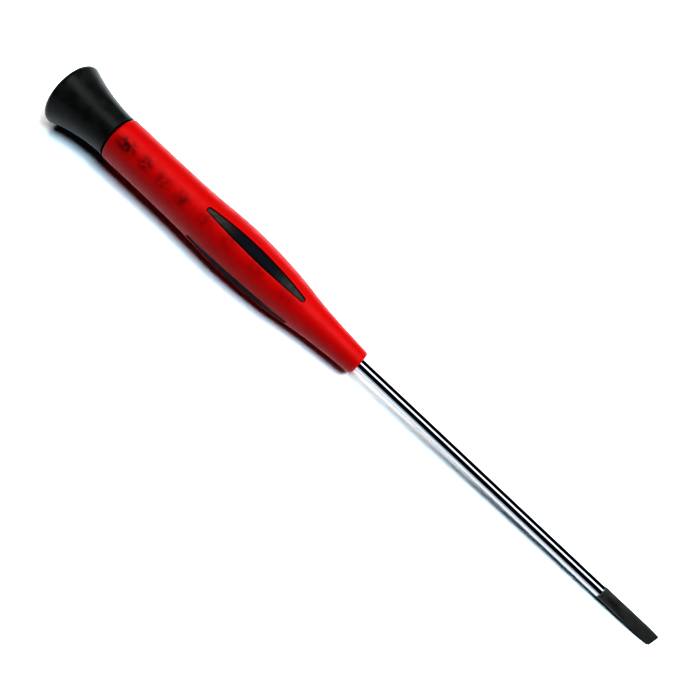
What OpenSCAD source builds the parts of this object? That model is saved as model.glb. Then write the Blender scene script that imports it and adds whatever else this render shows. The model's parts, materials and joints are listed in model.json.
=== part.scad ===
// Precision flat-blade screwdriver with a free-turning palm cap.
// The tool lies along X: the blade points to +X, the cap is at -X and +Z is up.
// The origin is on the axis, at the nose face of the handle.

/* [Handle] */
// Length of the handle, from its nose to the face that the cap turns against
handle_len = 81.6; // [70:0.2:100]
// Radius at the nose
nose_r = 3.4; // [3:0.1:4.2]
// Radius of the slim throat behind the nose
throat_r = 4.6; // [4.2:0.1:5.5]
// Distance of the throat from the nose
throat_at = 14.5; // [12:0.5:17]
// Radius of the belly, the widest place under the fingers
belly_r = 7.05; // [5.8:0.05:8.6]
// Distance of the belly from the nose
belly_at = 41; // [38:0.5:45]
// Radius of the shoulder behind the belly
shoulder_r = 6.34; // [5.2:0.02:7.6]
// Distance of the shoulder from the nose
shoulder_at = 57; // [53:0.5:62]
// Radius at the rear face
rear_r = 6.22; // [5.1:0.02:7.5]
// Rounding of the nose edge
nose_round = 0.9; // [0.4:0.1:1.2]
// Rounding of the rear edge
rear_round = 0.6; // [0.3:0.1:1]
// Wall of the sleeve round the core's barrel, at the rear face
sleeve_wall = 1.9; // [1.5:0.1:2.2]
// Least wall of the sleeve in the slim front part
nose_wall = 1.15; // [0.9:0.05:1.4]
// Thickness of the sleeve's closed nose
nose_web = 3; // [2:0.5:5]

/* [Grip windows] */
// Turn of the first window from the top
window_turn = 0; // [0:0.5:45]
// Distance of the windows' middle from the nose
window_at = 36.4; // [34:0.2:40]
// Length of a window
window_len = 32.3; // [24:0.1:36]
// Width of a window at its middle
window_w = 3.2; // [2.4:0.1:4]
// Radius of a window's rounded ends
window_end_r = 0.65; // [0.4:0.05:1]
// Depth of the grip pads under the sleeve's surface
pad_recess = 0.25; // [0.1:0.05:0.5]
// Width of the key under each pad
key_w = 1.4; // [1:0.1:1.8]
// Length of the key under each pad
key_len = 20; // [12:1:22]
// Depth of the key in the core
key_depth = 0.9; // [0.5:0.1:1]

/* [Blade] */
// Length of the blade in front of the handle
blade_len = 100; // [75:5:150]
// Diameter of the round shank
shank_d = 3.5; // [2.8:0.1:4.2]
// Thickness of the tip's end
tip_t = 0.6; // [0.3:0.05:0.8]
// How much narrower than the shank the tip's end is
tip_narrowing = 0.3; // [0:0.05:1]
// Length of the two ground flats
flat_len = 14; // [8:1:20]
// Length over which the tip's sides close in to its width
side_len = 5; // [3:0.5:8]
// Length of the blade inside the handle
tang_len = 46; // [36:1:54]
// Height of the step at the handle's nose, where the shank goes down to the tang
nose_step = 0.2; // [0.18:0.02:0.4]
// Span of the pressed wings that hold the tang
wing_span = 4.6; // [3.6:0.1:6.2]
// Thickness of the wings
wing_t = 1.3; // [1:0.1:1.8]
// Length of the wings
wing_len = 8; // [5:1:12]

/* [Turning cap] */
// Length of the cap
cap_len = 17.35; // [15:0.05:22]
// Radius of the cap's neck, next to the handle
cap_neck_r = 6; // [5.5:0.1:7]
// Radius of the cap's rim
cap_rim_r = 8.75; // [7.2:0.05:10.6]
// Rounding of the neck's edge
neck_round = 0.3; // [0.1:0.1:0.5]
// Rounding of the rim
rim_round = 1.2; // [0.8:0.1:1.5]
// Height of the domed end over the rim
end_crown = 0.8; // [0.4:0.1:1.2]
// Gap between the cap and the handle
cap_gap = 0.35; // [0.25:0.05:0.6]
// Radius of the disc that closes the cap
disc_r = 6.1; // [5.2:0.1:6.6]
// Thickness of the closing disc at its edge
disc_t = 1.3; // [1:0.1:1.6]
// Width of the ledge that the disc's edge rests on
disc_ledge = 1.4; // [1:0.1:1.8]
// Length of the closing disc's hollow plug
plug_len = 2.2; // [1.5:0.1:2.4]
// Wall of the hollow plug
plug_wall = 0.9; // [0.6:0.1:1.2]

/* [Swivel] */
// Diameter of the swivel pin
pin_d = 3; // [2.5:0.1:3.6]
// Length of the pin pressed into the core
pin_grip = 11; // [8:0.5:16]
// Radius of the pin's head
pin_head_r = 2.7; // [2.4:0.1:3.2]
// Thickness of the pin's head
pin_head_t = 1; // [0.8:0.1:1.4]
// Height of the pin's barbs
barb_h = 0.25; // [0.15:0.05:0.4]
// Length of the bush
bush_len = 8.4; // [7:0.1:8.6]
// Wall of the bush
bush_wall = 1; // [0.8:0.1:1.2]
// Width of the bush's flange
flange_w = 1; // [0.6:0.1:1.4]
// Thickness of the bush's flange
flange_t = 0.8; // [0.6:0.1:1.2]
// Thickness of the thrust washer against the handle
thrust_t = 0.6; // [0.5:0.1:0.8]
// Thickness of the washer under the pin's head
head_washer_t = 0.4; // [0.3:0.1:0.6]
// How far the washer stands out round the pin's head
head_washer_rim = 0.3; // [0.1:0.1:0.6]

/* [Hidden] */
// Gap round a piece that is moulded in or pressed in
seat_gap = 0.02;
// Gap round and beside a piece that turns
run_gap = 0.05;
// Shape of the curve between throat and belly: how far it has gone, and how far it has risen
swell_way = 0.47;
swell_rise = 0.7;
window_count = 4;
// Barbs on the pin: how many, how far apart, how long, and where the first one starts in the core
barb_count = 3;
barb_pitch = 2;
barb_len = 1.2;
barb_from = 2.5;
// Tang: chamfer of its end, and where the wings start from it
tang_chamfer = 0.4;
wing_from_end = 7;
// Depth to which the plug's wall runs into the disc, and the key into its pad
plug_root = 0.2;
key_root = 0.3;
// How far a cut runs past the piece that it cuts
cut_past = 1;
// Length of one step along the handle's curve, and the number of steps in each arc
curve_step = 1.6;
edge_steps = 6;
rim_steps = 12;
flare_steps = 14;
// Sides of a circle, and of the very large circles along a window
round_fn = 96;
long_arc_fn = 720;

shank_r = shank_d / 2;
tang_r = shank_r - nose_step;
// The nose's hole opens out to clear the shank, at 45 degrees
mouth_h = nose_step + run_gap - seat_gap;
pin_r = pin_d / 2;
// The tip's flats face halfway between two windows
flat_turn = window_turn - 180 / window_count;

// Stations of the handle's outline, as [distance from the nose, radius]
stations = [
    [0, nose_r],
    [throat_at, throat_r],
    [throat_at + swell_way * (belly_at - throat_at), throat_r + swell_rise * (belly_r - throat_r)],
    [belly_at, belly_r],
    [shoulder_at, shoulder_r],
    [handle_len, rear_r]
];

// Core of the handle
core_r = rear_r - sleeve_wall;
core_d_steps = [for (d = [nose_web : curve_step : handle_len - curve_step]) d];
core_slim = [for (d = core_d_steps) if (handle_r(d) - nose_wall < core_r && d < belly_at) d];
core_full_at = core_slim[len(core_slim) - 1] + curve_step;

// Places along the swivel, from the handle's rear face backwards
rear_x = -handle_len;
cap_front = rear_x - cap_gap;
cap_end = cap_front - cap_len;
bush_front = rear_x - thrust_t - run_gap;
bush_end = bush_front - bush_len;
head_front = bush_end - head_washer_t - 2 * run_gap;
head_end = head_front - pin_head_t;

bush_r = pin_r + run_gap + bush_wall;
flange_r = bush_r + flange_w;
thrust_r = flange_r;
head_washer_r = pin_head_r + head_washer_rim;
pocket_r = disc_r - disc_ledge;

// Arcs of the cap: the rim's rounding, the hollow flare and the domed end touch each other
rim_centre = [cap_rim_r - rim_round, cap_end + rim_round + end_crown];
flare_rise = cap_rim_r - cap_neck_r;
flare_run = cap_front - rim_centre[1];
flare_r = (pow(flare_rise, 2) + pow(flare_run, 2)) / (2 * flare_rise) - rim_round;
dome_r = (pow(rim_centre[0], 2) + pow(rim_round + end_crown, 2) - pow(rim_round, 2)) / (2 * end_crown);
flare_angle = atan2(flare_run, flare_r + rim_round - flare_rise);
dome_angle = atan2(rim_centre[0], dome_r - rim_round - end_crown);
disc_seat = cap_end + dome_r - sqrt(pow(dome_r, 2) - pow(disc_r, 2)) + disc_t;

// Each pad is a node of its own
PADS = [for (i = [1 : window_count]) str("grip_pad_", i)];

// ---- Curves ----

// Slope of the outline at station i
function slope(i) =
    let (a = max(i - 1, 0), b = min(i + 1, len(stations) - 1))
    (stations[b][1] - stations[a][1]) / (stations[b][0] - stations[a][0]);

// The span of the outline that holds distance d
function span_of(d, i = 0) =
    i >= len(stations) - 2 || d <= stations[i + 1][0] ? i : span_of(d, i + 1);

// Radius of the handle at distance d from the nose: a smooth curve through the stations
function handle_r(d) =
    let (
        i = span_of(d),
        w = stations[i + 1][0] - stations[i][0],
        u = (d - stations[i][0]) / w
    )
    (2 * pow(u, 3) - 3 * pow(u, 2) + 1) * stations[i][1]
    + (pow(u, 3) - 2 * pow(u, 2) + u) * w * slope(i)
    + (3 * pow(u, 2) - 2 * pow(u, 3)) * stations[i + 1][1]
    + (pow(u, 3) - pow(u, 2)) * w * slope(i + 1);

// Points on an arc round centre c, from angle a to angle b
function arc(c, r, a, b, n) =
    [for (i = [0 : n]) let (t = a + (b - a) * i / n) c + r * [cos(t), sin(t)]];

// ---- Tools for turned and cut shapes ----

// Turns a flat shape round the tool's axis. In the flat shape x is the radius and y is the place along X.
module turned() rotate([0, 90, 0]) rotate_extrude($fn = round_fn) children();

// A turned ring between two radii and two places along X
module ring(r_in, r_out, from, to) {
    turned() translate([r_in, min(from, to)]) square([r_out - r_in, abs(to - from)]);
}

// Turns pieces from the top towards +Y, round the tool's axis
module at_turn(a) rotate([-a, 0, 0]) children();

// Outline of a window: two long arcs whose tips are closed by small round ends
module lens(half_len, half_w, end_r) {
    end_at = half_len - end_r;
    side_r = (pow(end_at, 2) + pow(half_w, 2) - pow(end_r, 2)) / (2 * (half_w - end_r));
    touch_at = end_at * side_r / (side_r - end_r);
    intersection() {
        translate([0, half_w - side_r]) circle(side_r, $fn = long_arc_fn);
        translate([0, side_r - half_w]) circle(side_r, $fn = long_arc_fn);
        square([2 * touch_at, 4 * half_w], center = true);
    }
    for (s = [-1, 1]) translate([s * end_at, 0]) circle(end_r, $fn = round_fn);
}

// A radial prism with a window's outline, from the axis outwards, larger all round by grow
module window_prism(grow, height) {
    translate([-window_at, 0, 0])
        linear_extrude(height)
            lens(window_len / 2 + grow, window_w / 2 + grow, window_end_r + grow);
}

// ---- Outlines, as [radius, place along X] ----

// The handle's outer surface, sunk by depth
module handle_outline(depth = 0) {
    nose = arc([handle_r(nose_round) - nose_round, -nose_round], nose_round - depth, 90, 0, edge_steps);
    wall_steps = [nose_round + curve_step : curve_step : handle_len - rear_round];
    wall = [for (d = wall_steps) [handle_r(d) - depth, -d]];
    rear = arc([rear_r - rear_round, rear_x + rear_round], rear_round - depth, 0, -90, edge_steps);
    polygon(concat([[0, -depth]], nose, wall, rear, [[0, rear_x + depth]]));
}

// The core inside the sleeve, larger all round by grow
module core_outline(grow = 0) {
    slim = [for (d = core_slim) [handle_r(d) - nose_wall + grow, -d]];
    polygon(concat(
        [[0, grow - nose_web], [slim[0][0], grow - nose_web]],
        slim,
        [[core_r + grow, -core_full_at], [core_r + grow, rear_x], [0, rear_x]]
    ));
}

// The pin with its barbs and head, larger all round by grow
module pin_outline(grow = 0) {
    translate([0, head_end]) square([pin_r + grow, rear_x + pin_grip + grow - head_end]);
    translate([0, head_end - grow]) square([pin_head_r + grow, pin_head_t + 2 * grow]);
    for (i = [0 : barb_count - 1])
        translate([0, rear_x + barb_from + i * barb_pitch])
            polygon([
                [0, -grow],
                [pin_r + barb_h + grow, -grow],
                [pin_r + grow, barb_len + grow],
                [0, barb_len + grow]
            ]);
}

// The cap with its closing disc: hollow flare, rounded rim and domed end
module cap_outline() {
    flare_centre = [cap_neck_r + flare_r, cap_front];
    neck_centre = [cap_neck_r - neck_round, cap_front - neck_round];
    neck_angle = asin(neck_round / flare_r);
    polygon(concat(
        [[0, cap_front]],
        arc(neck_centre, neck_round, 90, 0, edge_steps),
        arc(flare_centre, flare_r, 180 + neck_angle, 180 + flare_angle, flare_steps),
        arc(rim_centre, rim_round, flare_angle, dome_angle - 90, rim_steps),
        arc([0, cap_end + dome_r], dome_r, dome_angle - 90, -90, edge_steps)
    ));
}

// ---- Pieces ----

// The tang with its chamfered end and its pressed wings, larger all round by grow
module tang(grow = 0) {
    rotate([0, 90, 0]) {
        translate([0, 0, tang_chamfer - tang_len - grow])
            cylinder(h = tang_len - tang_chamfer + grow, r = tang_r + grow, $fn = round_fn);
        translate([0, 0, -tang_len - grow])
            cylinder(
                h = tang_chamfer,
                r1 = tang_r - tang_chamfer + grow,
                r2 = tang_r + grow,
                $fn = round_fn
            );
    }
    at_turn(flat_turn)
        translate([-tang_len + wing_from_end - grow, -wing_span / 2 - grow, -wing_t / 2 - grow])
            cube([wing_len + 2 * grow, wing_span + 2 * grow, wing_t + 2 * grow]);
}

// Side view of the tip: as wide as the shank, and then closing in to a half size at its end
module tip_taper(half_end, run) {
    polygon([
        [0, -shank_r], [blade_len - run, -shank_r], [blade_len, -half_end],
        [blade_len, half_end], [blade_len - run, shank_r], [0, shank_r]
    ]);
}

// Chrome-plated steel blade: a round shank, ground to a flat tip, on a winged tang
module blade() {
    color("silver") {
        tang();
        intersection() {
            rotate([0, 90, 0]) cylinder(h = blade_len, r = shank_r, $fn = round_fn);
            at_turn(flat_turn)
                rotate([90, 0, 0])
                    linear_extrude(2 * shank_d, center = true)
                        tip_taper(tip_t / 2, flat_len);
            at_turn(flat_turn)
                linear_extrude(2 * shank_d, center = true)
                    tip_taper(shank_r - tip_narrowing / 2, side_len);
        }
    }
}

// Hard black core, moulded round the tang, with a pocket for each pad's key and a seat for the pin
module handle_core() {
    color([0.08, 0.08, 0.08])
        difference() {
            turned() core_outline();
            tang(seat_gap);
            turned() pin_outline(seat_gap);
            for (i = [1 : window_count]) pad_key(i, seat_gap);
        }
}

// Red sleeve over the core, closed round the tang at the nose and open at the windows
module handle_sleeve() {
    color([0.78, 0.05, 0.05])
        difference() {
            turned() handle_outline();
            turned() core_outline(seat_gap);
            rotate([0, 90, 0]) {
                translate([0, 0, -nose_web - cut_past])
                    cylinder(h = nose_web + 2 * cut_past, r = tang_r + seat_gap, $fn = round_fn);
                translate([0, 0, -mouth_h])
                    cylinder(h = mouth_h, r1 = tang_r + seat_gap, r2 = shank_r + run_gap, $fn = round_fn);
            }
            for (i = [1 : window_count])
                at_turn(window_turn + (i - 1) * 360 / window_count)
                    translate([0, 0, core_r / 2])
                        window_prism(0, 2 * belly_r);
        }
}

// The key that holds pad i in the core, larger all round by grow
module pad_key(i, grow = 0) {
    at_turn(window_turn + (i - 1) * 360 / window_count)
        translate([-window_at - key_len / 2 - grow, -key_w / 2 - grow, core_r - key_depth - grow])
            cube([key_len + 2 * grow, key_w + 2 * grow, key_depth + key_root + grow]);
}

// Soft black pad i, which fills its window down to the core
module grip_pad(i) {
    color([0.13, 0.13, 0.13]) {
        intersection() {
            at_turn(window_turn + (i - 1) * 360 / window_count)
                translate([0, 0, core_r / 2])
                    window_prism(-seat_gap, 2 * belly_r);
            turned()
                difference() {
                    handle_outline(pad_recess);
                    core_outline(2 * seat_gap);
                }
        }
        pad_key(i);
    }
}

// Steel pin that the cap turns on, barbed where it is pressed into the core
module swivel_pin() {
    color("silver") turned() pin_outline();
}

// Washer between the handle and the bush
module thrust_washer() {
    color("gainsboro") ring(pin_r + run_gap, thrust_r, rear_x, rear_x - thrust_t);
}

// Flanged bearing bush, pressed into the cap
module swivel_bush() {
    color("goldenrod")
        turned()
            difference() {
                union() {
                    translate([0, bush_end]) square([bush_r, bush_len]);
                    translate([0, bush_front - flange_t]) square([flange_r, flange_t]);
                }
                translate([0, bush_end - cut_past]) square([pin_r + run_gap, bush_len + 2 * cut_past]);
            }
}

// Washer between the bush and the pin's head
module head_washer() {
    front = bush_end - run_gap;
    color("gainsboro") ring(pin_r + run_gap, head_washer_r, front, front - head_washer_t);
}

// Hard black cap, flared for the palm, bored for the bush and hollow behind it
module cap_shell() {
    color([0.06, 0.06, 0.06])
        turned()
            difference() {
                cap_outline();
                // bore of the bush
                translate([0, cap_end]) square([bush_r + seat_gap, cap_len + cut_past]);
                // counterbore for the thrust washer and the bush's flange
                translate([0, bush_front - flange_t - seat_gap])
                    square([flange_r + 2 * run_gap, cap_len]);
                // pocket for the pin's head and the disc's plug
                translate([0, cap_end]) square([pocket_r, bush_end - cap_end]);
                // seat of the closing disc
                translate([0, cap_end - cut_past])
                    square([disc_r + seat_gap, disc_seat + seat_gap - cap_end + cut_past]);
            }
}

// Domed disc that closes the cap, with a hollow plug
module cap_end_disc() {
    color([0.06, 0.06, 0.06]) {
        turned()
            intersection() {
                cap_outline();
                translate([0, cap_end - cut_past]) square([disc_r, disc_seat - cap_end + cut_past]);
            }
        plug_r = pocket_r - seat_gap;
        ring(plug_r - plug_wall, plug_r, disc_seat - plug_root, disc_seat + plug_len);
    }
}

blade();
handle_core();
handle_sleeve();
for (i = [1 : window_count])
    grip_pad(i);
swivel_pin();
thrust_washer();
swivel_bush();
head_washer();
cap_shell();
cap_end_disc();
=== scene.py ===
import json
import math

import bmesh
import bpy
from mathutils import Matrix, Vector

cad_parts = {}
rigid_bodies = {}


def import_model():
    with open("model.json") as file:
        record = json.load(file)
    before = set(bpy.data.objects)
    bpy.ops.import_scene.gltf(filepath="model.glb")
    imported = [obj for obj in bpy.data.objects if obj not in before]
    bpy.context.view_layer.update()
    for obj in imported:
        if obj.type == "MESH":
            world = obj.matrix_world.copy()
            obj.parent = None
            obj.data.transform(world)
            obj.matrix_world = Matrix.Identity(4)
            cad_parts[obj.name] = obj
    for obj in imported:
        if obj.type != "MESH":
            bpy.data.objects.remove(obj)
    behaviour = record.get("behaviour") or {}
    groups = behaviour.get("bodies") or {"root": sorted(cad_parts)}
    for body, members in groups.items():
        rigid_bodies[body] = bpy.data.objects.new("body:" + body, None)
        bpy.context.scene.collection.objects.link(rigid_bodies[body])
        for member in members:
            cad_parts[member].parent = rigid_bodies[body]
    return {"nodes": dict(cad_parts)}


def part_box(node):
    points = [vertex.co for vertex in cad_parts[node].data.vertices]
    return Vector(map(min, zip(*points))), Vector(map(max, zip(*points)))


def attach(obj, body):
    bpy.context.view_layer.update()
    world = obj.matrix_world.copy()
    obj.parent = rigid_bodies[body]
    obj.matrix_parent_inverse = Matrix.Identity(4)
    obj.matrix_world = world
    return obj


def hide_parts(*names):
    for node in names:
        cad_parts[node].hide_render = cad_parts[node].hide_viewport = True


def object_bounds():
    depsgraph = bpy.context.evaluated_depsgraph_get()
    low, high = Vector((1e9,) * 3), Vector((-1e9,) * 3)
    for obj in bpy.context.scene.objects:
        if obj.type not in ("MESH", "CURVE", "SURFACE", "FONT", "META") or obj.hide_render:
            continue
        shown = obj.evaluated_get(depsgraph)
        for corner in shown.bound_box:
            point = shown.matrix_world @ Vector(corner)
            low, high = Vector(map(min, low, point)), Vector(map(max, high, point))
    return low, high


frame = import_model()
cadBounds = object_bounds()

mm = 0.001
roundSteps = 192  # vertices in each ring of a turned piece
weldDistance = 0.004 * mm


# Starts an empty piece in edit mode
def newPiece(name):
    bpy.ops.object.select_all(action="DESELECT")
    bpy.ops.mesh.primitive_plane_add(size=mm)
    piece = bpy.context.object
    piece.name = piece.data.name = name
    bpy.ops.object.mode_set(mode="EDIT")
    bpy.ops.mesh.select_all(action="SELECT")
    bpy.ops.mesh.delete(type="VERT")
    # Leaving edit mode and going back makes new vertices come in the order they are added
    bpy.ops.object.mode_set(mode="OBJECT")
    bpy.ops.object.mode_set(mode="EDIT")
    return piece


# Draws an outline point by point, as (place along X, radius) in mm
def drawOutline(outline):
    points = [Vector((x * mm, 0, r * mm)) for x, r in outline]
    bpy.ops.mesh.primitive_plane_add(size=mm)
    bpy.ops.mesh.merge(type="CENTER")
    bpy.ops.transform.translate(value=points[0])
    for here, there in zip(points, points[1:]):
        bpy.ops.mesh.extrude_vertices_move(TRANSFORM_OT_translate={"value": there - here})
    bpy.ops.mesh.select_linked()


# Spins an outline round the tool's axis
def turnOutline(outline):
    drawOutline(outline)
    bpy.ops.mesh.spin(steps=roundSteps, angle=2 * math.pi, center=(0, 0, 0), axis=(1, 0, 0))


# Adds one ring for each list of points, and skins each ring to the next
def bridgeRings(rings):
    mesh = bpy.context.object.data
    count = len(rings[0])
    first = len(bmesh.from_edit_mesh(mesh).verts)
    for ring in rings:
        bpy.ops.mesh.primitive_circle_add(vertices=count, radius=mm)
        verts = [v for v in bmesh.from_edit_mesh(mesh).verts if v.select]
        for vert, point in zip(verts, ring):
            vert.co = Vector(point) * mm
    for i in range(len(rings) - 1):
        bpy.ops.mesh.select_all(action="DESELECT")
        work = bmesh.from_edit_mesh(mesh)
        work.verts.ensure_lookup_table()
        for k in range(first + i * count, first + (i + 2) * count):
            work.verts[k].select = True
        work.select_flush(True)
        bpy.ops.mesh.bridge_edge_loops()


# Merges the doubles, then turns every face outwards
def weld():
    bpy.ops.mesh.select_all(action="SELECT")
    bpy.ops.mesh.remove_doubles(threshold=weldDistance)
    bpy.ops.mesh.select_all(action="SELECT")
    bpy.ops.mesh.normals_make_consistent(inside=False)


# Applies the placing, smooths up to the given edge angle, and hands the piece to its body and node
def finishPiece(piece, body, material, replaced, sharpFrom=35):
    if bpy.context.object.mode != "OBJECT":
        bpy.ops.object.mode_set(mode="OBJECT")
    bpy.ops.object.select_all(action="DESELECT")
    piece.select_set(True)
    bpy.context.view_layer.objects.active = piece
    bpy.ops.object.transform_apply(location=True, rotation=True, scale=True)
    bpy.ops.object.shade_smooth_by_angle(angle=math.radians(sharpFrom))
    piece.data.materials.clear()
    piece.data.materials.append(material)
    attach(piece, body)
    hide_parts(replaced)


# Joins a block to a piece or cuts it away, and removes the block
def applyBlock(piece, operation, place, axes, size):
    bpy.ops.object.select_all(action="DESELECT")
    bpy.ops.mesh.primitive_cube_add(size=1, location=place, scale=size, rotation=axes.to_euler())
    block = bpy.context.object
    bpy.ops.object.transform_apply(location=True, rotation=True, scale=True)
    bpy.context.view_layer.objects.active = piece
    change = piece.modifiers.new("block", "BOOLEAN")
    change.operation, change.object = operation, block
    bpy.ops.object.modifier_apply(modifier="block")
    bpy.data.objects.remove(block)


# Points on an arc round a centre (place, radius), from angle a to b in degrees from the X axis
def arc(centre, radius, a, b, steps):
    turns = [math.radians(a + (b - a) * i / steps) for i in range(steps + 1)]
    return [(centre[0] + radius * math.cos(t), centre[1] + radius * math.sin(t)) for t in turns]


def blend(a, b, share):
    return tuple(p + (q - p) * share for p, q in zip(a, b))


def addNode(tree, kind, inputs=None, **options):
    made = tree.nodes.new("ShaderNode" + kind)
    for name, value in options.items():
        setattr(made, name, value)
    for name, value in (inputs or {}).items():
        if isinstance(value, bpy.types.NodeSocket):
            tree.links.new(value, made.inputs[name])
        else:
            made.inputs[name].default_value = value
    return made


def calc(tree, operation, a, b):
    return addNode(tree, "Math", {0: a, 1: b}, operation=operation).outputs[0]


def remap(tree, value, low, high, toLow=0.0, toHigh=1.0):
    ends = {"Value": value, "From Min": low, "From Max": high, "To Min": toLow, "To Max": toHigh}
    return addNode(tree, "MapRange", ends, interpolation_type="SMOOTHSTEP").outputs[0]


# Inputs 6 and 7 and output 2 of a Mix node are its colours
def mixColour(tree, share, a, b):
    return addNode(tree, "Mix", {0: share, 6: a, 7: b}, data_type="RGBA").outputs[2]


def newGroup(name, inputs, outputs):
    tree = bpy.data.node_groups.new(name, "ShaderNodeTree")
    for label, value in inputs.items():
        socket = tree.interface.new_socket(
            name=label, in_out="INPUT", socket_type="NodeSocketFloat")
        socket.default_value = value
    for label in outputs:
        tree.interface.new_socket(
            name=label, in_out="OUTPUT", socket_type="NodeSocketFloat")
    return tree, tree.nodes.new("NodeGroupInput"), tree.nodes.new("NodeGroupOutput")


def useGroup(tree, group, values):
    made = tree.nodes.new("ShaderNodeGroup")
    made.node_tree = group
    for label, value in values.items():
        made.inputs[label].default_value = value
    return made.outputs


# Coordinates of the piece in grains: metres divided by the grain size, drawn out along X
def grainPlace(tree, source, stretch=None):
    place = addNode(tree, "TexCoord").outputs["Object"]
    along = calc(tree, "MULTIPLY", source, stretch) if stretch else source
    size = addNode(tree, "CombineXYZ", {"X": along, "Y": source, "Z": source}).outputs[0]
    return addNode(tree, "VectorMath", {0: place, 1: size}, operation="DIVIDE").outputs[0]


noiseLook = {"grainDetail": 3.0, "mottleScale": 0.07, "mottleDetail": 5.0, "rubDetail": 4.0}


# Fine moulded or blasted grain, and slow mottling for tone and gloss
def makeGrainGroup():
    look = noiseLook
    defaults = {"Size": 0.15 * mm, "Stretch": 1.0, "Contrast": 0.5}
    tree, given, result = newGroup("surfaceGrain", defaults, ["Height", "Mottle"])
    place = grainPlace(tree, given.outputs["Size"], given.outputs["Stretch"])
    fine = {"Vector": place, "Scale": 1.0, "Detail": look["grainDetail"]}
    slow = {"Vector": place, "Scale": look["mottleScale"], "Detail": look["mottleDetail"]}
    height = addNode(tree, "TexNoise", fine).outputs[0]
    mottle = addNode(tree, "TexNoise", slow).outputs[0]
    half = calc(tree, "MULTIPLY", given.outputs["Contrast"], 0.5)
    low = calc(tree, "SUBTRACT", 0.5, half)
    high = calc(tree, "ADD", 0.5, half)
    tree.links.new(height, result.inputs["Height"])
    tree.links.new(remap(tree, mottle, low, high), result.inputs["Mottle"])
    return tree


# Rubs and scuffs: patches where noise passes a level, drawn out along the tool
def makeRubGroup():
    defaults = {"Size": 2 * mm, "Stretch": 1.0, "Level": 0.55, "Softness": 0.08}
    tree, given, result = newGroup("rubMarks", defaults, ["Mask"])
    place = grainPlace(tree, given.outputs["Size"], given.outputs["Stretch"])
    pattern = {"Vector": place, "Scale": 1.0, "Detail": noiseLook["rubDetail"]}
    noise = addNode(tree, "TexNoise", pattern).outputs[0]
    end = calc(tree, "ADD", given.outputs["Level"], given.outputs["Softness"])
    tree.links.new(remap(tree, noise, given.outputs["Level"], end), result.inputs["Mask"])
    return tree


grainGroup = makeGrainGroup()
rubGroup = makeRubGroup()


def newMaterial(name):
    material = bpy.data.materials.new(name)
    material.use_nodes = True
    tree = material.node_tree
    return material, tree, tree.nodes["Principled BSDF"]


# Relief on the surface, with its depth in metres
def setBump(tree, shader, height, distance):
    bump = addNode(tree, "Bump", {"Height": height, "Strength": 1.0, "Distance": distance})
    tree.links.new(bump.outputs[0], shader.inputs["Normal"])


# Roughness that rises with a mask
def roughFrom(tree, mask, look):
    smooth = look["roughness"]
    return remap(tree, mask, 0, 1, smooth, smooth + look["mottleRoughness"])


# Distance along the tool in metres and turn round its axis in radians, for marks that follow it
def toolPlace(tree):
    place = addNode(tree, "TexCoord").outputs["Object"]
    x, y, z = addNode(tree, "SeparateXYZ", {0: place}).outputs
    return x, calc(tree, "ARCTAN2", z, y)


redPlasticLook = {
    "bright": (0.27, 0.004, 0.004, 1), "deep": (0.19, 0.002, 0.003, 1), "deepShare": 0.3,
    "worn": (0.035, 0.004, 0.005, 1),
    # rubbed places along one side: (place along X, half length, strength)
    "rubs": ((-77, 3.8, 0.95), (-70.8, 2.7, 0.7), (-64.6, 2.6, 0.65), (-58.6, 2.6, 0.65),
             (-51, 2.8, 0.4), (-43, 3.0, 0.35), (-34, 3.4, 0.3), (-24, 3.4, 0.28)),
    "rubTurn": 1.97, "rubSpread": 0.38,  # round the axis, in radians
    "rubEdge": (1.2, 0.2),  # shares of a rub's size where it starts and where it is full
    "rubPattern": {"Size": 1.1 * mm, "Stretch": 1.3, "Level": 0.32, "Softness": 0.3},
    "handled": {"Size": 5 * mm, "Stretch": 3.0, "Level": 0.45, "Softness": 0.2},
    "roughness": 0.36, "mottleRoughness": 0.08, "handledRoughness": -0.06, "specular": 0.22,
    "grain": {"Size": 0.16 * mm, "Contrast": 0.6}, "relief": 0.012 * mm,
}


# Soft rubbed places in a row along one side of the handle
def rubbedRow(tree, look):
    along, turn = toolPlace(tree)
    away = calc(tree, "SUBTRACT", turn, look["rubTurn"])
    across = calc(tree, "MULTIPLY", away, 1 / look["rubSpread"])
    row = 0.0
    for place, halfLength, strength in look["rubs"]:
        offset = calc(tree, "SUBTRACT", along, place * mm)
        lengthwise = calc(tree, "MULTIPLY", offset, 1 / (halfLength * mm))
        flat = addNode(tree, "CombineXYZ", {0: lengthwise, 1: across}).outputs[0]
        distance = addNode(tree, "VectorMath", {0: flat}, operation="LENGTH").outputs["Value"]
        row = calc(tree, "MAXIMUM", remap(tree, distance, *look["rubEdge"], 0.0, strength), row)
    return row


# Satin moulded plastic, a little glossier where it is held
def makeRedPlastic():
    look = redPlasticLook
    material, tree, shader = newMaterial("redPlastic")
    grain = useGroup(tree, grainGroup, look["grain"])
    marks = useGroup(tree, rubGroup, look["rubPattern"])
    handled = useGroup(tree, rubGroup, look["handled"])
    worn = calc(tree, "MULTIPLY", rubbedRow(tree, look), marks["Mask"])
    share = calc(tree, "MULTIPLY", grain["Mottle"], look["deepShare"])
    colour = mixColour(tree, share, look["bright"], look["deep"])
    tree.links.new(mixColour(tree, worn, colour, look["worn"]), shader.inputs["Base Color"])
    polish = calc(tree, "MULTIPLY", handled["Mask"], look["handledRoughness"])
    rough = calc(tree, "ADD", roughFrom(tree, grain["Mottle"], look), polish)
    tree.links.new(rough, shader.inputs["Roughness"])
    shader.inputs["Specular IOR Level"].default_value = look["specular"]
    setBump(tree, shader, grain["Height"], look["relief"])
    return material


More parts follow.
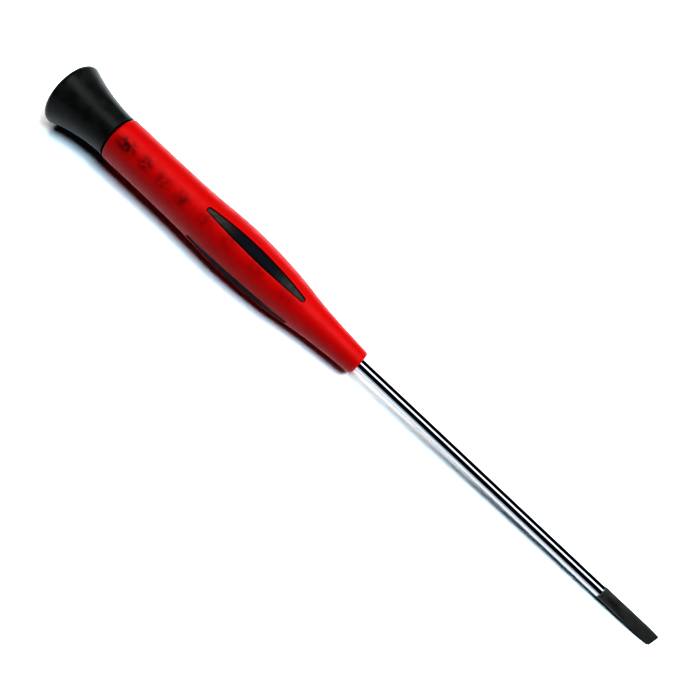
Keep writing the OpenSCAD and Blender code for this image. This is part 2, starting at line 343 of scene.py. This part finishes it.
capPlasticLook = {
    "dark": (0.006, 0.006, 0.006, 1), "dustAndSheen": (0.02, 0.02, 0.018, 1),
    "mottleShare": 0.5, "scuffShare": 0.4,
    "scuffs": {"Size": 0.6 * mm, "Stretch": 5.0, "Level": 0.6, "Softness": 0.1},
    "roughness": 0.3, "mottleRoughness": 0.16, "specular": 0.24,
    "grain": {"Size": 0.2 * mm, "Contrast": 0.5}, "relief": 0.01 * mm,
}

coreLook = dict(
    capPlasticLook, dark=(0.014, 0.014, 0.015, 1), dustAndSheen=(0.03, 0.03, 0.03, 1),
    roughness=0.45, specular=0.3, grain={"Size": 0.25 * mm, "Contrast": 0.5})


# Black plastic, lightly scuffed along the tool
def makeBlackPlastic(name, look):
    material, tree, shader = newMaterial(name)
    grain = useGroup(tree, grainGroup, look["grain"])
    scuffs = useGroup(tree, rubGroup, look["scuffs"])
    share = calc(tree, "ADD", calc(tree, "MULTIPLY", grain["Mottle"], look["mottleShare"]),
                 calc(tree, "MULTIPLY", scuffs["Mask"], look["scuffShare"]))
    colour = mixColour(tree, share, look["dark"], look["dustAndSheen"])
    tree.links.new(colour, shader.inputs["Base Color"])
    tree.links.new(roughFrom(tree, share, look), shader.inputs["Roughness"])
    shader.inputs["Specular IOR Level"].default_value = look["specular"]
    setBump(tree, shader, grain["Height"], look["relief"])
    return material


# Pad colours: blue-black, and a paler tone that is a painted sheen towards the ends of the pad
padLook = {
    "dark": (0.008, 0.009, 0.012, 1), "dustAndSheen": (0.055, 0.050, 0.042, 1),
    "sheenFrom": 5 * mm, "sheenTo": 15 * mm,  # from the middle of the pad
    "sheenLeast": 0.5, "roughness": 0.48, "mottleRoughness": 0.14, "specular": 0.07,
    "grain": {"Size": 0.11 * mm, "Contrast": 0.6}, "relief": 0.02 * mm,
}


# Soft grip rubber: blue-black, with a painted sheen, a paler tone, towards the ends of the pad
def makePadRubber():
    look = padLook
    material, tree, shader = newMaterial("padRubber")
    grain = useGroup(tree, grainGroup, look["grain"])
    along = toolPlace(tree)[0]
    low, high = (corner.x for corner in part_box("grip_pad_1"))
    offset = calc(tree, "SUBTRACT", along, (low + high) / 2)
    fromMiddle = calc(tree, "ABSOLUTE", offset, 0.0)
    # Painted sheen: the pale tone grows from the middle of the pad towards both ends
    ends = remap(tree, fromMiddle, look["sheenFrom"], look["sheenTo"])
    patchy = remap(tree, grain["Mottle"], 0, 1, look["sheenLeast"], 1.0)
    share = calc(tree, "MULTIPLY", ends, patchy)
    colour = mixColour(tree, share, look["dark"], look["dustAndSheen"])
    tree.links.new(colour, shader.inputs["Base Color"])
    tree.links.new(roughFrom(tree, grain["Mottle"], look), shader.inputs["Roughness"])
    shader.inputs["Specular IOR Level"].default_value = look["specular"]
    setBump(tree, shader, grain["Height"], look["relief"])
    return material


bladeLook = {
    "chrome": (0.34, 0.345, 0.365, 1), "worn": (0.25, 0.255, 0.27, 1),
    "oxide": (0.008, 0.008, 0.007, 1), "scale": (0.03, 0.028, 0.023, 1),
    "oxideFrom": 82 * mm, "oxideFade": 0.3 * mm, "raggedness": 0.5 * mm,
    "chromeRoughness": 0.08, "scuffRoughness": 0.08,
    "oxideRoughness": 0.55, "scaleRoughness": 0.2, "oxideMetallic": 0.1,
    "polish": {"Size": 0.05 * mm, "Stretch": 60.0, "Contrast": 0.5}, "polishDepth": 0.06,
    "scaleGrain": {"Size": 0.12 * mm, "Stretch": 1.5, "Contrast": 0.35},
    "scuffs": {"Size": 0.4 * mm, "Stretch": 8.0, "Level": 0.62, "Softness": 0.1},
    "ragged": {"Size": 0.03 * mm, "Stretch": 4.0, "Contrast": 0.4}, "relief": 0.02 * mm,
}


# Bright chrome with fine lengthwise polishing lines, blacked at the tip
def makeBladeSteel():
    look = bladeLook
    material, tree, shader = newMaterial("bladeSteel")
    lines = useGroup(tree, grainGroup, look["polish"])
    scale = useGroup(tree, grainGroup, look["scaleGrain"])
    scuffs = useGroup(tree, rubGroup, look["scuffs"])
    ragged = useGroup(tree, grainGroup, look["ragged"])
    along = toolPlace(tree)[0]
    edge = calc(tree, "ADD", along, calc(tree, "MULTIPLY", ragged["Mottle"], look["raggedness"]))
    oxide = remap(tree, edge, look["oxideFrom"], look["oxideFrom"] + look["oxideFade"])
    bright = mixColour(tree, scuffs["Mask"], look["chrome"], look["worn"])
    black = mixColour(tree, scale["Mottle"], look["oxide"], look["scale"])
    tree.links.new(mixColour(tree, oxide, bright, black), shader.inputs["Base Color"])
    metallic = remap(tree, oxide, 0, 1, 1.0, look["oxideMetallic"])
    tree.links.new(metallic, shader.inputs["Metallic"])
    scuffed = calc(tree, "MULTIPLY", scuffs["Mask"], look["scuffRoughness"])
    polished = calc(tree, "ADD", look["chromeRoughness"], scuffed)
    dullest = look["oxideRoughness"] + look["scaleRoughness"]
    dull = remap(tree, scale["Mottle"], 0, 1, look["oxideRoughness"], dullest)
    rough = addNode(tree, "Mix", {0: oxide, 2: polished, 3: dull}).outputs[0]
    tree.links.new(rough, shader.inputs["Roughness"])
    fine = calc(tree, "MULTIPLY", lines["Height"], look["polishDepth"])
    relief = addNode(tree, "Mix", {0: oxide, 2: fine, 3: scale["Height"]}).outputs[0]
    setBump(tree, shader, relief, look["relief"])
    return material


steelLook = {
    "clean": (0.62, 0.62, 0.63, 1), "dull": (0.42, 0.42, 0.43, 1),
    "roughness": 0.22, "mottleRoughness": 0.1, "scuffRoughness": 0.12, "relief": 0.004 * mm,
    "lines": {"Size": 0.06 * mm, "Stretch": 0.5, "Contrast": 0.6},
    "scuffs": {"Size": 0.5 * mm, "Stretch": 1.0, "Level": 0.55, "Softness": 0.15},
}

brassLook = dict(
    steelLook, clean=(0.80, 0.56, 0.24, 1), dull=(0.55, 0.36, 0.14, 1), roughness=0.25)


# Plain turned metal for the inner pieces
def makeTurnedMetal(name, look):
    material, tree, shader = newMaterial(name)
    lines = useGroup(tree, grainGroup, look["lines"])
    scuffs = useGroup(tree, rubGroup, look["scuffs"])
    colour = mixColour(tree, lines["Mottle"], look["clean"], look["dull"])
    tree.links.new(colour, shader.inputs["Base Color"])
    shader.inputs["Metallic"].default_value = 1.0
    scuffed = calc(tree, "MULTIPLY", scuffs["Mask"], look["scuffRoughness"])
    rough = calc(tree, "ADD", roughFrom(tree, lines["Mottle"], look), scuffed)
    tree.links.new(rough, shader.inputs["Roughness"])
    setBump(tree, shader, lines["Height"], look["relief"])
    return material


redPlastic = makeRedPlastic()
capPlastic = makeBlackPlastic("capPlastic", capPlasticLook)
corePlastic = makeBlackPlastic("corePlastic", coreLook)
padRubber = makePadRubber()
bladeSteel = makeBladeSteel()
swivelSteel = makeTurnedMetal("swivelSteel", steelLook)
bushBrass = makeTurnedMetal("bushBrass", brassLook)
print("materials made")


# The sizes of the pieces are in mm, and their turns in degrees
handle = {
    "length": -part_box("handle_sleeve")[0].x / mm,
    "noseRadius": 3.4, "throatRadius": 4.6, "throatAt": 14.5, "bellyRadius": 7.05, "bellyAt": 41,
    "shoulderRadius": 6.34, "shoulderAt": 57, "rearRadius": 6.22,
    "swellWay": 0.47, "swellRise": 0.7,  # shares of the way from the throat to the belly
    "noseRound": 0.9, "noseSteps": 10, "rearRound": 0.6, "rearSteps": 8,
    "coreRadius": 4.34, "noseWall": 1.13, "noseWeb": 3, "holeRadius": 1.57, "mouthRadius": 1.8,
    "ringPitch": 0.8, "innerPitch": 1.6,
}


# Places along the handle, measured back from its nose, with the radius at each
def handleStations():
    h = handle
    swellAt = h["throatAt"] + h["swellWay"] * (h["bellyAt"] - h["throatAt"])
    swellRadius = h["throatRadius"] + h["swellRise"] * (h["bellyRadius"] - h["throatRadius"])
    return [(0, h["noseRadius"]), (h["throatAt"], h["throatRadius"]), (swellAt, swellRadius),
            (h["bellyAt"], h["bellyRadius"]), (h["shoulderAt"], h["shoulderRadius"]),
            (h["length"], h["rearRadius"])]


stations = handleStations()


# Radius of the handle at a place along X: a smooth curve through the stations
def handleRadius(x):
    def slope(i):
        a, b = stations[max(i - 1, 0)], stations[min(i + 1, len(stations) - 1)]
        return (b[1] - a[1]) / (b[0] - a[0])

    i = max(k for k in range(len(stations) - 1) if k == 0 or -x > stations[k][0])
    (start, here), (end, there) = stations[i], stations[i + 1]
    wide = end - start
    u = (-x - start) / wide
    return ((2 * u ** 3 - 3 * u ** 2 + 1) * here + (u ** 3 - 2 * u ** 2 + u) * wide * slope(i)
            + (3 * u ** 2 - 2 * u ** 3) * there + (u ** 3 - u ** 2) * wide * slope(i + 1))


# Radius of the hole inside the sleeve
def boreRadius(x):
    return min(handleRadius(x) - handle["noseWall"], handle["coreRadius"])


# Places from one end to the other, about one pitch apart
def places(start, end, pitch):
    steps = max(1, round(abs(end - start) / pitch))
    return [start + (end - start) * i / steps for i in range(steps + 1)]


window = {
    "at": -36.4, "halfLength": 16.15, "halfWidth": 1.6, "endRadius": 0.65, "count": 4,
    "beltFront": -16.4, "beltBack": -56.4,  # between these the sleeve is built round its windows
    "stepsAcross": roundSteps // 4, "stepsAlong": 40, "tipLength": 2.5,
    "lip": 0.28, "sheetRings": 9, "sheetEase": 1.3, "lipRings": 4,
    "wallShares": (0, 0.3, 0.65, 1),  # rings inside, from the window to the edge of its quarter
}


# Half width of a window's outline at a place along it, grown all round
def lensHalfWidth(x, grow):
    halfWidth, endRadius = window["halfWidth"] + grow, window["endRadius"] + grow
    endAt = window["halfLength"] - window["endRadius"]
    sideRadius = (endAt ** 2 + halfWidth ** 2 - endRadius ** 2) / (2 * (halfWidth - endRadius))
    touchAt = endAt * sideRadius / (sideRadius - endRadius)
    if abs(x) < touchAt:
        return math.sqrt(sideRadius ** 2 - x ** 2) - sideRadius + halfWidth
    return math.sqrt(max(0.0, endRadius ** 2 - (abs(x) - endAt) ** 2))


# The outline as flat points, first round the nose end, then along one side, and so on round
def lensRing(grow):
    end = window["halfLength"] + grow
    ring = []
    for side in (1, -1):
        for i in range(window["stepsAcross"]):
            u = 1 - 2 * i / window["stepsAcross"]
            x = end - window["tipLength"] * u ** 2
            y = math.copysign(lensHalfWidth(x, grow), -side * u)
            ring.append((window["at"] + side * x, y))
        for i in range(window["stepsAlong"]):
            x = (end - window["tipLength"]) * (1 - 2 * i / window["stepsAlong"])
            ring.append((window["at"] + side * x, side * lensHalfWidth(x, grow)))
    return ring


# The edge of a quarter of the belt, as flat points in the same order
def quarterRing(radiusAt):
    ring = []
    for side in (1, -1):
        near, far = ("beltFront", "beltBack") if side > 0 else ("beltBack", "beltFront")
        near, far = window[near], window[far]
        for i in range(window["stepsAcross"]):
            turn = side * math.pi / 4 * (2 * i / window["stepsAcross"] - 1)
            ring.append((near, radiusAt(near) * math.sin(turn)))
        for i in range(window["stepsAlong"]):
            x = near + (far - near) * i / window["stepsAlong"]
            ring.append((x, side * radiusAt(x) * math.sin(math.pi / 4)))
    return ring


# Lifts flat points onto a turned surface, sunk by depth
def liftRing(ring, radiusAt, depth=0.0):
    return [(x, y, math.sqrt((radiusAt(x) - depth) ** 2 - y ** 2)) for x, y in ring]


def blendRings(a, b, share):
    return [blend(p, q, share) for p, q in zip(a, b)]


# Sleeve: turned nose and rear, and between them a belt of four quarters, each round its window
def makeSleeve():
    h, w = handle, window
    piece = newPiece("redSleeve")
    edge, lipEdge, inner = quarterRing(handleRadius), lensRing(w["lip"]), lensRing(0)
    rings = []
    for i in range(w["sheetRings"] + 1):
        share = (1 - i / w["sheetRings"]) ** w["sheetEase"]
        rings.append(liftRing(blendRings(lipEdge, edge, share), handleRadius))
    for i in range(1, w["lipRings"] + 1):
        turn = math.pi / 2 * i / w["lipRings"]
        grow, depth = w["lip"] * (1 - math.sin(turn)), w["lip"] * (1 - math.cos(turn))
        rings.append(liftRing(lensRing(grow), handleRadius, depth))
    for share in w["wallShares"]:
        rings.append(liftRing(blendRings(inner, quarterRing(boreRadius), share), boreRadius))
    bridgeRings(rings)
    bpy.ops.mesh.select_all(action="SELECT")
    for i in range(w["count"] - 1):
        bpy.ops.mesh.duplicate()
        bpy.ops.transform.rotate(value=math.pi / 2, orient_axis="X", center_override=(0, 0, 0))

    nose = -h["noseRound"]
    noseCentre = (nose, handleRadius(nose) - h["noseRound"])
    front = [(x, handleRadius(x)) for x in places(w["beltFront"], nose, h["ringPitch"])]
    front += arc(noseCentre, h["noseRound"], 90, 0, h["noseSteps"])[1:]
    mouthDepth = h["mouthRadius"] - h["holeRadius"]
    front += [(0, h["mouthRadius"]), (-mouthDepth, h["holeRadius"])]
    front += [(-h["noseWeb"], h["holeRadius"])]
    front += [(x, boreRadius(x)) for x in places(-h["noseWeb"], w["beltFront"], h["ringPitch"])]
    turnOutline(front)

    rear = -h["length"]
    rearCentre = (rear + h["rearRound"], h["rearRadius"] - h["rearRound"])
    back = [(x, handleRadius(x)) for x in places(w["beltBack"], rearCentre[0], h["ringPitch"])]
    back += arc(rearCentre, h["rearRound"], 90, 180, h["rearSteps"])[1:]
    back += [(x, boreRadius(x)) for x in places(rear, w["beltBack"], h["innerPitch"])]
    turnOutline(back)
    weld()
    finishPiece(piece, "handle", redPlastic, "handle_sleeve")


pad = {
    "gap": 0.1, "recess": 0.25, "round": 0.3, "roundRings": 4, "crownRings": 4,
    "coreGap": 0.02, "bedGap": 0.04,  # the sleeve's bore to the core, and the core to the pad
    "keyLength": 20, "keyWidth": 1.4, "keyDepth": 0.9, "keyRise": 0.3,
    "spineShare": 0.93, "sharpFrom": 50,
}


# One pad with a rounded edge and a key under it, and copies turned into the other windows
def makePads():
    def bedRadius(x):
        return min(boreRadius(x), handle["coreRadius"]) + pad["bedGap"] - pad["coreGap"]

    piece = newPiece("gripPad1")
    foot, top = lensRing(-pad["gap"]), lensRing(-pad["gap"] - pad["round"])
    middle = window["at"]
    spine = [(middle + (x - middle) * pad["spineShare"], 0.0) for x, y in top]
    rings = [liftRing(spine, bedRadius), liftRing(foot, bedRadius)]
    for i in range(pad["roundRings"] + 1):
        turn = math.pi / 2 * (1 - i / pad["roundRings"])
        grow = -pad["gap"] - pad["round"] * (1 - math.sin(turn))
        depth = pad["recess"] + pad["round"] * (1 - math.cos(turn))
        rings.append(liftRing(lensRing(grow), handleRadius, depth))
    for i in range(1, pad["crownRings"] + 1):
        share = i / pad["crownRings"]
        rings.append(liftRing(blendRings(top, spine, share), handleRadius, pad["recess"]))
    bridgeRings(rings)
    weld()
    bpy.ops.object.mode_set(mode="OBJECT")

    keyTop = handle["coreRadius"] + pad["keyRise"]
    keyLow = handle["coreRadius"] - pad["coreGap"] - pad["keyDepth"]
    keyPlace = (middle * mm, 0, (keyTop + keyLow) / 2 * mm)
    keySize = (pad["keyLength"] * mm, pad["keyWidth"] * mm, (keyTop - keyLow) * mm)
    applyBlock(piece, "UNION", keyPlace, Matrix.Identity(3), keySize)

    for i in range(window["count"]):
        if i > 0:
            bpy.ops.object.select_all(action="DESELECT")
            piece.select_set(True)
            bpy.context.view_layer.objects.active = piece
            bpy.ops.object.duplicate()
            piece = bpy.context.object
            piece.name = piece.data.name = "gripPad%d" % (i + 1)
            piece.rotation_euler.x = -2 * math.pi / window["count"]
        replaced = "grip_pad_%d" % (i + 1)
        finishPiece(piece, "handle", padRubber, replaced, pad["sharpFrom"])


makeSleeve()
print("sleeve made")
makePads()
print("pads made")


cap = {
    "front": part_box("cap_shell")[1].x / mm, "end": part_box("cap_end_disc")[0].x / mm,
    "neckRadius": 6, "neckRound": 0.3, "rimRadius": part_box("cap_shell")[1].y / mm, "rimRound": 1.2,
    "crown": 0.8, "discRadius": 6.1, "discThick": 1.3, "ledge": 1.4, "seamRound": 0.15,
    "plugLength": 2.2, "plugWall": 0.9, "boreRadius": 2.57, "counterRadius": 3.65,
    "counterDepth": 1.12, "boreEnd": -90.65, "seatGap": 0.02,
    "neckSteps": 6, "flareSteps": 36, "rimSteps": 16, "domeSteps": 4, "seamSteps": 4,
    "discSteps": 12,
}


# Cap with a hollow flare and a low dome behind, and the disc that closes it
def makeCap():
    c = cap
    rimCentre = (c["end"] + c["rimRound"] + c["crown"], c["rimRadius"] - c["rimRound"])
    rise, run = c["rimRadius"] - c["neckRadius"], c["front"] - rimCentre[0]
    flareRadius = (rise ** 2 + run ** 2) / (2 * rise) - c["rimRound"]
    flareTurn = math.degrees(math.atan2(run, flareRadius + c["rimRound"] - rise))
    flareCentre = (c["front"], c["neckRadius"] + flareRadius)
    neckTurn = math.degrees(math.asin(c["neckRound"] / flareRadius))
    deep = c["rimRound"] + c["crown"]
    domeRadius = (rimCentre[1] ** 2 + deep ** 2 - c["rimRound"] ** 2) / (2 * c["crown"])
    domeTurn = math.degrees(math.atan2(rimCentre[1], domeRadius - deep))
    domeCentre = (c["end"] + domeRadius, 0)

    # Turn of the place on the dome that has this radius, and where that place is along X
    def onDome(radius):
        turn = math.asin(radius / domeRadius)
        return 180 - math.degrees(turn), domeCentre[0] - domeRadius * math.cos(turn)

    seat = onDome(c["discRadius"])[1] + c["discThick"]
    pocket, seam = c["discRadius"] - c["ledge"], c["seamRound"]
    neckCentre = (c["front"] - c["neckRound"], c["neckRadius"] - c["neckRound"])
    seatRadius = c["discRadius"] + c["seatGap"]
    lipTurn, lipAt = onDome(seatRadius + seam)
    counterEnd = c["front"] - c["counterDepth"]
    shell = newPiece("palmCap")
    outline = [(c["front"], c["counterRadius"])]
    outline += arc(neckCentre, c["neckRound"], 0, 90, c["neckSteps"])
    outline += arc(flareCentre, flareRadius, 270 - neckTurn, 270 - flareTurn, c["flareSteps"])
    outline += arc(rimCentre, c["rimRound"], 90 - flareTurn, 180 - domeTurn, c["rimSteps"])[1:]
    outline += arc(domeCentre, domeRadius, 180 - domeTurn, lipTurn, c["domeSteps"])[1:]
    outline += arc((lipAt + seam, seatRadius + seam), seam, 180, 270, c["seamSteps"])[1:]
    outline += [(seat, seatRadius), (seat, pocket), (c["boreEnd"], pocket)]
    outline += [(c["boreEnd"], c["boreRadius"]), (counterEnd, c["boreRadius"])]
    outline += [(counterEnd, c["counterRadius"]), outline[0]]
    turnOutline(outline)
    weld()
    finishPiece(shell, "cap", capPlastic, "cap_shell")

    disc = newPiece("capDisc")
    edgeTurn, edgeAt = onDome(c["discRadius"] - seam)
    plug = pocket - c["seatGap"]
    plugEnd = seat + c["plugLength"]
    outline = arc(domeCentre, domeRadius, 180, edgeTurn, c["discSteps"])
    outline += arc((edgeAt + seam, c["discRadius"] - seam), seam, 180, 90, c["seamSteps"])[1:]
    outline += [(seat, c["discRadius"]), (seat, plug), (plugEnd, plug)]
    outline += [(plugEnd, plug - c["plugWall"]), (seat, plug - c["plugWall"]), (seat, 0)]
    turnOutline(outline)
    weld()
    finishPiece(disc, "cap", capPlastic, "cap_end_disc")


makeCap()
print("cap made")


blade = {
    "length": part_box("blade")[1].x / mm, "tang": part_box("blade")[0].x / mm,
    "radius": 1.75, "step": 0.2, "tangChamfer": 0.4,
    "flatLength": 14, "tipThick": 0.6, "sideLength": 5, "tipWidth": 3.2,
    "wingFrom": 7, "wingLength": 8, "wingSpan": 4.6, "wingThick": 1.3, "turn": 45,
    "overrun": 1, "cutWidth": 3,  # the cutting block's extra length, and its width in shank radii
    "ringPitch": 4, "sharpFrom": 22,
}


# Grinds a flat that starts at the surface and closes in on the axis towards the tip
def grindFlat(piece, normal, length, halfEnd):
    b = blade
    slope = math.atan2(b["radius"] - halfEnd, length)
    outward = Vector((math.sin(slope), 0, 0)) + normal * math.cos(slope)
    along = Vector((math.cos(slope), 0, 0)) - normal * math.sin(slope)
    axes = Matrix((along, outward.cross(along), outward)).transposed()
    middle = Vector(((b["length"] - length) * mm, 0, 0)) + normal * b["radius"] * mm
    middle += along * length / 2 * mm + outward * b["radius"] / 2 * mm
    width = b["cutWidth"] * b["radius"] * mm
    size = ((length + 2 * b["overrun"]) * mm, width, b["radius"] * mm)
    applyBlock(piece, "DIFFERENCE", middle, axes, size)


# Round shank with a stepped tang, ground on four sides at the tip and winged inside the handle
def makeBlade():
    b = blade
    piece = newPiece("chromeBlade")
    tangRadius = b["radius"] - b["step"]
    outline = [(b["tang"], 0), (b["tang"], tangRadius - b["tangChamfer"])]
    outline += [(b["tang"] + b["tangChamfer"], tangRadius), (0, tangRadius)]
    outline += [(x, b["radius"]) for x in places(0, b["length"], b["ringPitch"])]
    outline += [(b["length"], 0)]
    turnOutline(outline)
    weld()
    bpy.ops.object.mode_set(mode="OBJECT")
    turn = math.radians(b["turn"])
    across = Vector((0, math.cos(turn), math.sin(turn)))
    thick = Vector((0, -math.sin(turn), math.cos(turn)))
    for side in (1, -1):
        grindFlat(piece, side * thick, b["flatLength"], b["tipThick"] / 2)
        grindFlat(piece, side * across, b["sideLength"], b["tipWidth"] / 2)
    wingAt = b["tang"] + b["wingFrom"] + b["wingLength"] / 2
    wingAxes = Matrix((Vector((1, 0, 0)), across, thick)).transposed()
    wingSize = (b["wingLength"] * mm, b["wingSpan"] * mm, b["wingThick"] * mm)
    applyBlock(piece, "UNION", (wingAt * mm, 0, 0), wingAxes, wingSize)
    finishPiece(piece, "handle", bladeSteel, "blade", b["sharpFrom"])


makeBlade()
print("blade made")


# The inner pieces stay as they come, with materials of their own
innerMaterials = {
    "handle_core": corePlastic, "swivel_pin": swivelSteel, "thrust_washer": swivelSteel,
    "head_washer": swivelSteel, "swivel_bush": bushBrass,
}
for name, material in innerMaterials.items():
    kept = frame["nodes"][name]
    kept.data.materials.clear()
    kept.data.materials.append(material)


stage = {
    "floorSize": 1.5,  # metres
    "floorColour": (0.93, 0.93, 0.935, 1), "floorRoughness": 0.6,
    "restRounds": 4,
}


# Lowest line under the tool: it rests on the handle's belly and on the blade's tip
def restLine():
    belly = [v.co for v in bpy.data.objects["redSleeve"].data.vertices]
    tip = [v.co for v in bpy.data.objects["chromeBlade"].data.vertices if v.co.x > 0]
    slope = 0.0
    for attempt in range(stage["restRounds"]):
        low = min(belly, key=lambda p: p.z - slope * p.x)
        slope = min((p.z - low.z) / (p.x - low.x) for p in tip)
    return low, slope


def makeFloor():
    low, slope = restLine()
    bpy.ops.object.select_all(action="DESELECT")
    bpy.ops.mesh.primitive_plane_add(
        size=stage["floorSize"], location=low, rotation=(0, -math.atan(slope), 0))
    floor = bpy.context.object
    floor.name = "floor"
    material, _, shader = newMaterial("floorPaper")
    shader.inputs["Base Color"].default_value = stage["floorColour"]
    shader.inputs["Roughness"].default_value = stage["floorRoughness"]
    floor.data.materials.append(material)


makeFloor()

# Each light is unseen by one kind of ray, so that tone and reflections are lit apart. Sizes and
# distances are in metres.
lights = {
    "softBox": {"towards": (0.12, 0.47, 0.88), "size": (1.1, 0.6), "power": 13.0,
                "colour": (1.0, 0.98, 0.95), "unseenBy": "glossy"},
    "overhead": {"towards": (0.25, 0.03, 0.97), "size": (0.35, 0.15), "power": 7.5,
                 "colour": (0.7, 0.88, 1.0), "unseenBy": "glossy"},
    "shine": {"towards": (0.0, 0.18, 0.98), "size": (1.3, 0.55), "power": 4.2,
              "colour": (0.95, 0.97, 1.0), "unseenBy": "diffuse"},
    "sideWall": {"towards": (0.0, -0.975, 0.22), "size": (1.5, 0.4), "power": 1.6,
                 "colour": (0.93, 0.96, 1.0), "unseenBy": "diffuse"},
}
room = {"lightDistance": 0.9, "colour": (0.93, 0.95, 0.97, 1), "strength": 1.0}


def makeLight(name, look):
    towards = Vector(look["towards"]).normalized()
    bpy.ops.object.light_add(type="AREA", location=towards * room["lightDistance"])
    lamp = bpy.context.object
    lamp.name = name
    lamp.rotation_euler = towards.to_track_quat("Z", "Y").to_euler()
    lamp.data.shape = "RECTANGLE"
    lamp.data.size, lamp.data.size_y = look["size"]
    lamp.data.energy, lamp.data.color = look["power"], look["colour"]
    setattr(lamp, "visible_" + look["unseenBy"], False)


for name, look in lights.items():
    makeLight(name, look)

# The room is pale to the eye, but it neither lights the tool nor shows in the chrome
surroundings = bpy.data.worlds.new("room")
surroundings.use_nodes = True
background = surroundings.node_tree.nodes["Background"]
background.inputs["Color"].default_value = room["colour"]
background.inputs["Strength"].default_value = room["strength"]
for ray in ("diffuse", "glossy", "transmission", "scatter"):
    setattr(surroundings.cycles_visibility, ray, False)
bpy.context.scene.world = surroundings
bpy.context.scene.view_settings.view_transform = "Standard"
bpy.context.scene.view_settings.look = "Very High Contrast"

camera = {
    "lens": 46.3, "tilt": 22.5, "roll": 43.24,
    "distance": 223, "nearest": 10,  # mm, as for the next value
    "aside": (-4.45, 0.94, 0.37),  # from the middle of the object's box to the middle of the view
}


def makeCamera():
    tilt = math.radians(camera["tilt"])
    back = Vector((0, -math.sin(tilt), math.cos(tilt)))
    aim = (cadBounds[0] + cadBounds[1]) / 2 + Vector(camera["aside"]) * mm
    bpy.ops.object.camera_add(location=aim + back * camera["distance"] * mm)
    eye = bpy.context.object
    eye.rotation_mode = "ZYX"
    eye.rotation_euler = (tilt, 0, math.radians(camera["roll"]))
    eye.data.lens = camera["lens"]
    eye.data.clip_start = camera["nearest"] * mm
    bpy.context.scene.camera = eye


makeCamera()
bpy.context.view_layer.update()
print("scene made")
